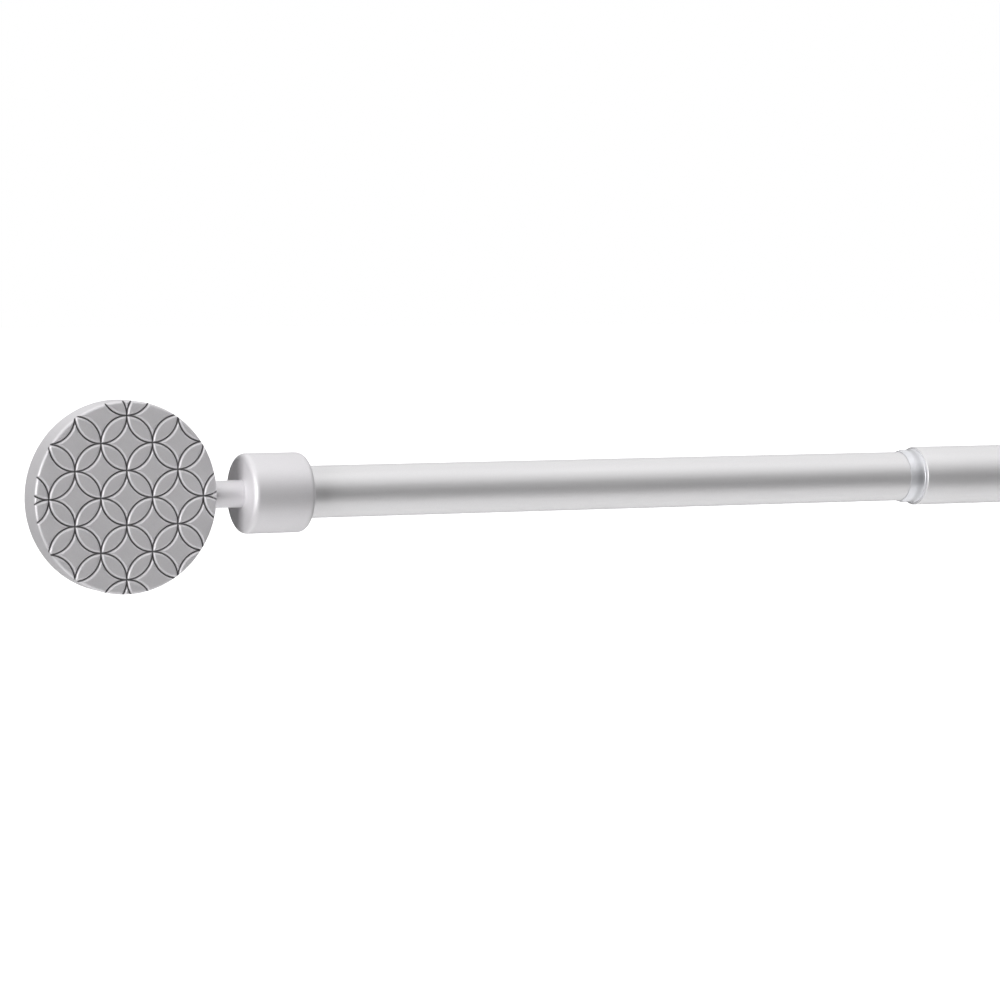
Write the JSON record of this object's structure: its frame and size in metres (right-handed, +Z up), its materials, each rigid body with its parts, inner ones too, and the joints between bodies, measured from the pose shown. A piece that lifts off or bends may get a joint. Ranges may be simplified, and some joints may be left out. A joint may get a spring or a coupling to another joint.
{
  "type": "curtain rod",
  "caption": "Telescoping curtain rod: a thinner tube slides and turns in a thicker one, with round collars and flat disc finials engraved with interlocking circles.",
  "frame": {"origin": "on the rod's axis, at the middle of the outer tube, where a bracket can hold it", "axes": "+X along the rod from the thinner tube to the thicker one, -Y out of the engraved faces, +Z up"},
  "size_m": [1.0674, 0.0242, 0.0572],
  "materials": {
    "tube_finish": "satin",
    "finial_finish": "satin",
    "clear_ring": "gloss",
    "nylon": "matte",
    "plated_steel": "satin"
  },
  "bodies": {
    "outer_rod": {"outer_tube": "tube_finish", "mouth_ring": "clear_ring", "right_plug": "nylon", "right_nut": "plated_steel", "right_collar": "finial_finish", "right_stud": "plated_steel", "right_finial": "finial_finish"},
    "guide": {"guide_bush": "nylon"},
    "inner_rod": {"inner_tube": "tube_finish", "left_plug": "nylon", "left_nut": "plated_steel", "left_collar": "finial_finish", "left_stud": "plated_steel", "left_finial": "finial_finish"}
  },
  "joints": [
    {"name": "telescope", "type": "slide", "parent": "outer_rod", "child": "guide", "axis": [-1, 0, 0], "range_m": [-0.2122, 0.2983]},
    {"name": "twist", "type": "hinge", "parent": "guide", "child": "inner_rod", "pos_m": [-0.0066, 0, 0], "axis": [1, 0, 0], "continuous": true}
  ]
}
